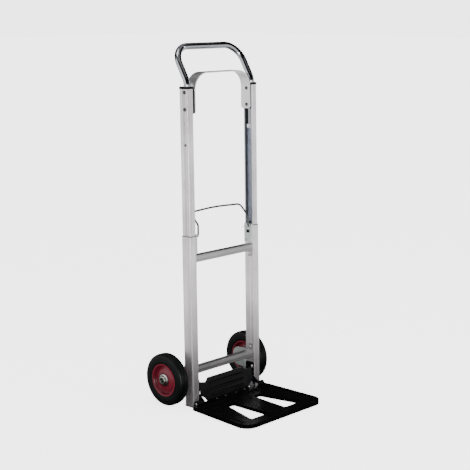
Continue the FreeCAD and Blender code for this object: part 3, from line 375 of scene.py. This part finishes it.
def floor_material():
    """White with a soft shadow; reflections see a painted emission, with painted shade dark under the
    truck and pale further off.
    """
    material, tree, shader = new_material("pale_floor")
    shader.inputs["Base Color"].default_value = (0.8, 0.8, 0.8, 1)
    shader.inputs["Roughness"].default_value = 0.9
    shader.inputs["Specular IOR Level"].default_value = 0.0
    out = tree.nodes["Material Output"]
    where = object_place(tree)
    length = tree.nodes.new("ShaderNodeVectorMath")
    length.operation = "LENGTH"
    tree.links.new(where, length.inputs[0])
    # painted shade: the emission that reflections see is dark under the truck and full beyond 1.5 m
    painted_shade_falloff = ramp_node(tree, length.outputs["Value"], 0.2, 1.5, smooth=True)
    painted_reflection_glow = tree.nodes.new("ShaderNodeEmission")
    painted_reflection_glow.inputs["Strength"].default_value = 1.35
    tree.links.new(painted_shade_falloff, painted_reflection_glow.inputs["Color"])
    white = tree.nodes.new("ShaderNodeEmission")
    white.inputs["Strength"].default_value = FLOOR_STRENGTH
    path = tree.nodes.new("ShaderNodeLightPath")
    shown = tree.nodes.new("ShaderNodeAddShader")
    tree.links.new(shader.outputs[0], shown.inputs[0])
    tree.links.new(white.outputs[0], shown.inputs[1])
    felt = choose(tree, path.outputs["Is Glossy Ray"], shader.outputs[0], painted_reflection_glow.outputs[0])
    tree.links.new(choose(tree, path.outputs["Is Camera Ray"], felt, shown.outputs[0]), out.inputs[0])
    return material


def rim_enamel_with_painted_highlight():
    """Red enamel with a painted highlight, a pale ring on the rolled edge; darker round the hub, a little
    mottled.
    """
    material, tree, shader = new_material("rim_enamel_painted_highlight")
    speckle = speckle_node(tree, 500, 55)
    where = object_place(tree)
    shift = tree.nodes.new("ShaderNodeVectorMath")
    shift.operation = "MULTIPLY_ADD"
    tree.links.new(where, shift.inputs[0])
    shift.inputs[1].default_value = (0, 1, 1)
    shift.inputs[2].default_value = (0, -AXLE.y, -AXLE.z)
    radius = tree.nodes.new("ShaderNodeVectorMath")
    radius.operation = "LENGTH"
    tree.links.new(shift.outputs[0], radius.inputs[0])
    reach = ramp_node(tree, radius.outputs["Value"], 0, RIM_RADIUS)
    # tone by distance from the axle: the near-white band at 0.94 to 0.97 of the rim radius is a painted
    # highlight on the rolled edge
    tone = steps_node(tree, reach, ((0.36, 0.05), (0.46, 0.35), (0.62, 0.5), (0.74, 0.3),
                                    (0.9, 0.15), (0.94, 1.0), (0.97, 1.0), (1.0, 0.1)))
    tone = math_node(tree, "MULTIPLY_ADD", speckle["Dust"], 0.25, tone)
    red = mix_colours(tree, tone, (0.03, 0.0008, 0.003), (0.22, 0.014, 0.032))
    tree.links.new(red, shader.inputs["Base Color"])
    roughen(tree, shader, speckle["Dust"], 0.15, 0.3)
    shader.inputs["Specular IOR Level"].default_value = 0.25
    shader.inputs["Coat Weight"].default_value = 0.15
    shader.inputs["Coat Roughness"].default_value = 0.12
    bump(tree, shader, speckle["Grain"], 0.05, 0.0004)
    return material


# drawn_metal: light, dark, roughness, lines along, fineness, line depth, metallic
# plated_metal: light, dark, roughness, grain, metallic
# coated: colour, worn, roughness, grain, grain scale, gloss
FINISH = {
    "post_aluminium": drawn_metal("satin_extrusion", (0.92, 0.88, 0.90), (0.56, 0.53, 0.55), 0.30, "Z",
                                  0.42, 0.12, 0.9),
    "bar_aluminium": drawn_metal("crossbar_extrusion", (0.48, 0.46, 0.46), (0.26, 0.26, 0.27), 0.34, "X",
                                 0.42, 0.12, 0.9),
    "strap_aluminium": drawn_metal("brushed_flat_bar", (0.78, 0.77, 0.78), (0.64, 0.64, 0.65), 0.28, "Z",
                                   1.0, 0.05, 0.85),
    "chrome_tube": plated_metal("bright_chrome", (0.36, 0.37, 0.39), (0.26, 0.27, 0.29), 0.06, 0.01),
    "zinc_steel": plated_metal("zinc_plate", (0.50, 0.55, 0.53), (0.34, 0.38, 0.36), 0.32, 0.08, 0.75),
    "bright_fastener": plated_metal("plated_fastener", (0.62, 0.62, 0.62), (0.45, 0.45, 0.45), 0.22,
                                    0.05, 0.8),
    "black_plastic": coated("black_moulding", (0.0015, 0.0015, 0.0018), (0.008, 0.008, 0.008), 0.26,
                            0.03, 1100, 0.12),
    "black_steel": coated("black_powder_coat", (0.0015, 0.0015, 0.002), (0.008, 0.008, 0.009), 0.24,
                          0.02, 700, 0.12),
    "bail_wire": plated_metal("dark_wire", (0.07, 0.07, 0.075), (0.04, 0.04, 0.045), 0.4, 0.1, 0.6),
    "tyre_rubber": coated("tyre_rubber", (0.0015, 0.002, 0.0022), (0.008, 0.009, 0.009), 0.40,
                          0.10, 600, 0.18),
    "red_paint": rim_enamel_with_painted_highlight(),
    "nylon": coated("black_nylon", (0.003, 0.003, 0.003), (0.01, 0.01, 0.01), 0.45, 0.15, 800, 0.2),
}
FINISH_OF = {
    "through_bolts": plated_metal("dark_bolt_heads", (0.08, 0.075, 0.075), (0.04, 0.04, 0.04), 0.24, 0.05),
    "web_rivets": plated_metal("dull_rivets", (0.14, 0.13, 0.13), (0.07, 0.07, 0.07), 0.26, 0.05),
    "hub": plated_metal("turned_hub", (0.40, 0.41, 0.38), (0.2, 0.21, 0.19), 0.26, 0.06),
    "toe_rivets": plated_metal("blackened_rivets", (0.16, 0.16, 0.16), (0.05, 0.05, 0.05), 0.3, 0.05),
    "tube_stop": plated_metal("bright_stop", (0.8, 0.8, 0.8), (0.6, 0.6, 0.6), 0.25, 0.05, 0.6),
    "axle": plated_metal("oiled_axle", (0.12, 0.13, 0.12), (0.04, 0.05, 0.04), 0.3, 0.08),
    "axle_clip": plated_metal("sprung_clip", (0.2, 0.2, 0.2), (0.1, 0.1, 0.1), 0.3, 0.05),
    "post_collar": coated("dark_collar", (0.03, 0.03, 0.032), (0.08, 0.08, 0.08), 0.35, 0.1, 900, 0.3),
}
# the upper posts carry painted shade in their open channel
FINISH_OF["upper_post"] = channel_with_painted_shade()
NODE_SLOT = {part["node"]: part["material_slot"] for part in frame["record"]["subparts"]}


# ---------------------------------------------------------------- making and placing pieces

def finish_of(node, slot):
    """The node's own finish, or else its slot's."""
    plain = node.removesuffix("_left").removesuffix("_right")
    return FINISH_OF.get(plain, FINISH[slot])


def piece_from(bm, name, body, slot, replaces=(), sharp=38):
    """Turns a finished bmesh into a piece that rides on a body and stands for CAD nodes."""
    mesh = bpy.data.meshes.new(name)
    bm.to_mesh(mesh)
    bm.free()
    mesh.shade_smooth()
    mesh.set_sharp_from_angle(angle=math.radians(sharp))
    piece = bpy.data.objects.new(name, mesh)
    bpy.context.scene.collection.objects.link(piece)
    mesh.materials.append(finish_of(replaces[0] if replaces else name, slot))
    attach(piece, body)
    if replaces:
        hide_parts(*replaces)
    return piece


def body_of(node):
    return frame["nodes"][node]["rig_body"]


def softened(node, width_mm):
    """The node's own shape with its hard edges rounded off."""
    bm = bmesh.new()
    bm.from_mesh(frame["nodes"][node].data)
    bmesh.ops.remove_doubles(bm, verts=bm.verts, dist=1e-6)
    bmesh.ops.dissolve_limit(bm, angle_limit=math.radians(0.6), verts=bm.verts, edges=bm.edges)
    piece = piece_from(bm, node + "_skin", body_of(node), NODE_SLOT[node], (node,))
    round_off = piece.modifiers.new("rounded_edges", "BEVEL")
    round_off.width = width_mm * MM
    round_off.segments = 2
    round_off.limit_method = "ANGLE"
    round_off.angle_limit = math.radians(40)
    round_off.harden_normals = True
    return piece


def spun_profile(corners, rounding, centre):
    """A closed ring of corners (radius and place along X, in mm), rounded and spun round the axle."""
    bm = bmesh.new()
    spots = [bm.verts.new(centre + Vector((along * MM, 0, radius * MM))) for radius, along in corners]
    edges = [bm.edges.new((spots[i], spots[(i + 1) % len(spots)])) for i in range(len(spots))]
    bmesh.ops.bevel(bm, geom=spots + edges, offset=rounding * MM, offset_type="OFFSET",
                    affect="VERTICES", segments=3, profile=0.5, material=-1, clamp_overlap=True)
    bmesh.ops.spin(bm, geom=bm.verts[:] + bm.edges[:], cent=centre, axis=(1, 0, 0), dvec=(0, 0, 0),
                   angle=math.tau, steps=96, use_merge=True, use_duplicate=False)
    bmesh.ops.remove_doubles(bm, verts=bm.verts, dist=1e-6)
    bmesh.ops.recalc_face_normals(bm, faces=bm.faces)
    return bm


def push_out(bm, edges, step):
    """Extrudes edges by one step and gives back the edges at the far end."""
    made = bmesh.ops.extrude_edge_only(bm, edges=edges)["geom"]
    verts = [item for item in made if isinstance(item, bmesh.types.BMVert)]
    bmesh.ops.translate(bm, verts=verts, vec=step)
    return [item for item in made if isinstance(item, bmesh.types.BMEdge)
            and all(vert in verts for vert in item.verts)]


# ---------------------------------------------------------------- pieces

REPLACED = set()


def tyre(side, sign):
    """Moulded rubber with grooves in the tread and a raised ring on each wall."""
    # radius and distance from the middle plane, in mm, from the bead to the middle of the tread
    half = [(46.5, 13), (52.5, 16.2), (60, 17.4), (61, 17.0), (62.2, 17.0), (63.2, 17.5), (69, 17.5),
            (70, 16.9), (71.4, 16.8), (72.4, 17.4), (75.6, 16.6), (78.0, 15.2), (80.2, 12.6),
            (80.6, 11.6), (79.4, 11.2), (79.4, 10.2), (80.9, 9.8), (81.2, 7.4), (79.8, 7.0),
            (79.8, 6.0), (81.5, 5.6), (81.5, 3.2), (80.0, 2.8), (80.0, 1.8), (81.5, 1.4)]
    ring = half + [(radius, -along) for radius, along in reversed(half)]
    centre = Vector((sign * AXLE.x, AXLE.y, AXLE.z))
    node = "tyre_" + side
    bm = spun_profile(ring, 0.35, centre)
    piece_from(bm, node + "_ribbed", body_of(node), NODE_SLOT[node], (node,), 50)
    REPLACED.add(node)


def post_spot(depth_mm, height_mm):
    """A point of the leaning posts' middle plane, from its depth and its height along the post."""
    across = Vector((0, math.cos(LEAN), -math.sin(LEAN)))
    return Vector((0, SETBACK, 0)) + across * (depth_mm * MM) + SLOPE * (height_mm * MM)


def bail_spring(side, sign):
    """A wound spring on the bail's pivot: one wire with a straight tail to the rear."""
    pivot = Vector((sign * BAIL_PIVOT["side"], 0, 0))
    pivot += post_spot(BAIL_PIVOT["depth_mm"], BAIL_PIVOT["height_mm"])
    bm = bmesh.new()
    wire, coil, turns, pitch = 0.7 * MM, 4.0 * MM, 3.4, 1.45 * MM
    start = pivot + Vector((sign * 5.6 * MM, 0, -coil))
    facing = Matrix.Translation(start) @ Matrix.Rotation(math.pi / 2, 4, "X")
    ring = bmesh.ops.create_circle(bm, cap_ends=False, segments=10, radius=wire, matrix=facing)
    edges = list({edge for vert in ring["verts"] for edge in vert.link_edges})
    first = edges[:]
    steps = round(turns * 20)
    inward = (-sign * pitch * turns / steps, 0, 0)
    spun = bmesh.ops.spin(bm, geom=edges, cent=pivot, axis=(1, 0, 0), angle=-math.tau * turns,
                          steps=steps, dvec=inward, use_merge=False, use_duplicate=False)["geom_last"]
    bmesh.ops.holes_fill(bm, edges=[item for item in spun if isinstance(item, bmesh.types.BMEdge)])
    tail = push_out(bm, first, Vector((0, 34 * MM, -3.5 * MM)))
    bmesh.ops.holes_fill(bm, edges=tail)
    bmesh.ops.recalc_face_normals(bm, faces=bm.faces)
    node = "bail_spring_" + side
    piece_from(bm, node + "_wound", body_of(node), NODE_SLOT[node], (node,), 60)
    REPLACED.add(node)


def edge_width(node):
    """How wide the rounding of a node's hard edges is, in mm."""
    if node == "toe_plate":
        return 1.0
    if node.startswith(("foot_cap", "post_cap", "toe_flange", "strap_spacer")):
        return 0.6
    return 0.35


def pale_floor():
    bm = bmesh.new()
    bmesh.ops.create_grid(bm, x_segments=1, y_segments=1, size=30)
    mesh = bpy.data.meshes.new("floor")
    bm.to_mesh(mesh)
    bm.free()
    floor = bpy.data.objects.new("floor", mesh)
    mesh.materials.append(floor_material())
    bpy.context.scene.collection.objects.link(floor)


for side, sign in SIDES:
    tyre(side, sign)
    bail_spring(side, sign)
for node in frame["nodes"]:
    if node not in REPLACED:
        softened(node, edge_width(node))
pale_floor()
